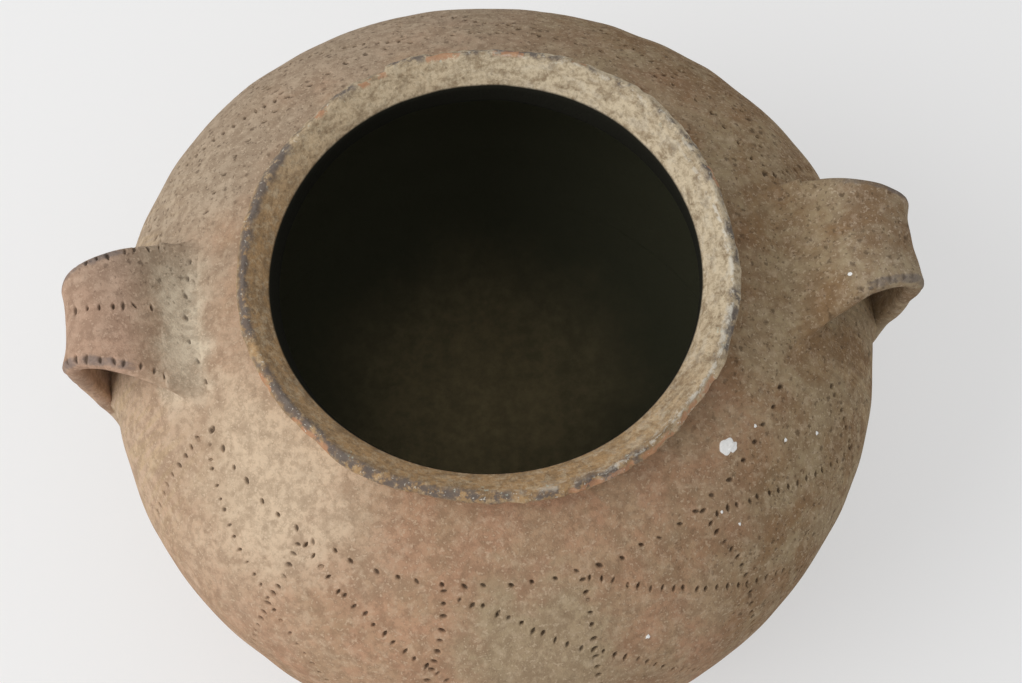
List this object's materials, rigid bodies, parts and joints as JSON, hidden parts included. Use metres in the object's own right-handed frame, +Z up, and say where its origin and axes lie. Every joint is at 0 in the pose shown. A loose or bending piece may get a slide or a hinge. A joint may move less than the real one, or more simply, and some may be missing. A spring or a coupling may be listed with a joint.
{
  "type": "two-handled clay olla",
  "caption": "Squat round hand-built clay olla with a short flared rim, strap handles on the shoulder and rows of pricked dots, for cooking and keeping food.",
  "frame": {"origin": "centre of the flat foot, on the surface that the pot stands on", "axes": "+Z up along the pot's axis, +X towards the right-hand handle"},
  "size_m": [0.3284, 0.3, 0.195],
  "materials": {
    "clay_wall": "matte unglazed",
    "clay_rim": "matte unglazed, worn",
    "clay_strap": "matte unglazed",
    "luting_clay": "matte unglazed"
  },
  "bodies": {
    "root": {"moulded_base": "clay_wall", "lower_wall_coil_1": "clay_wall", "lower_wall_coil_2": "clay_wall", "lower_wall_coil_3": "clay_wall", "lower_wall_coil_4": "clay_wall", "shoulder_coil_1": "clay_wall", "shoulder_coil_2": "clay_wall", "shoulder_coil_3": "clay_wall", "rim_coil": "clay_rim", "right_handle_strap": "clay_strap", "left_handle_strap": "clay_strap", "right_upper_luting_bed": "luting_clay", "right_lower_luting_bed": "luting_clay", "left_upper_luting_bed": "luting_clay", "left_lower_luting_bed": "luting_clay"}
  },
  "joints": []
}
